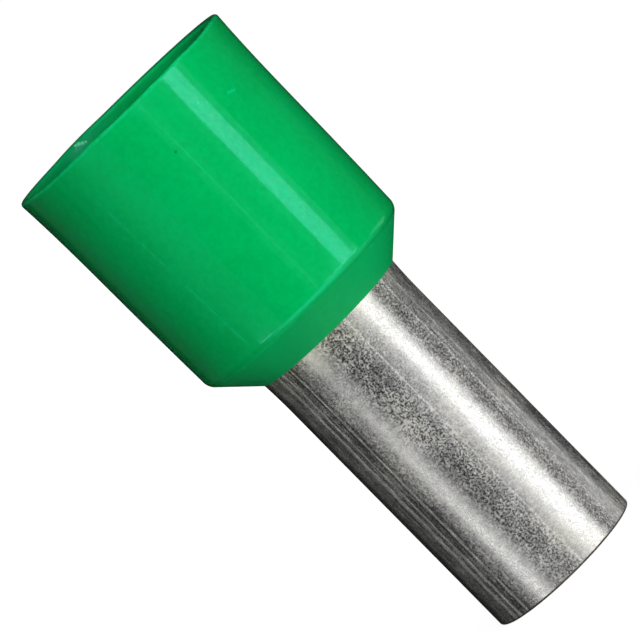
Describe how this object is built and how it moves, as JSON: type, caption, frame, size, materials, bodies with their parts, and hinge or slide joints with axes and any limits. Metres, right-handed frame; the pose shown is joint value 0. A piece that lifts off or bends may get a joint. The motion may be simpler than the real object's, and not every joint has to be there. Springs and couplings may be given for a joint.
{
  "type": "wire ferrule",
  "caption": "Insulated end sleeve for a stranded wire: a tin-plated metal tube with a flared end, seated in a flared green plastic collar that guides the strands in.",
  "frame": {"origin": "centre of the sleeve's cut end, which the part stands on", "axes": "+Z along the ferrule's axis, from the cut end towards the collar's mouth"},
  "size_m": [0.0096, 0.0096, 0.0226],
  "materials": {
    "tinned_metal": "matte tin plating over drawn copper, with fine draw lines and a grainy mottle",
    "collar_plastic": "semi-gloss moulded polypropylene, green"
  },
  "bodies": {
    "root": {"metal_sleeve": "tinned_metal", "plastic_collar": "collar_plastic"}
  },
  "joints": []
}
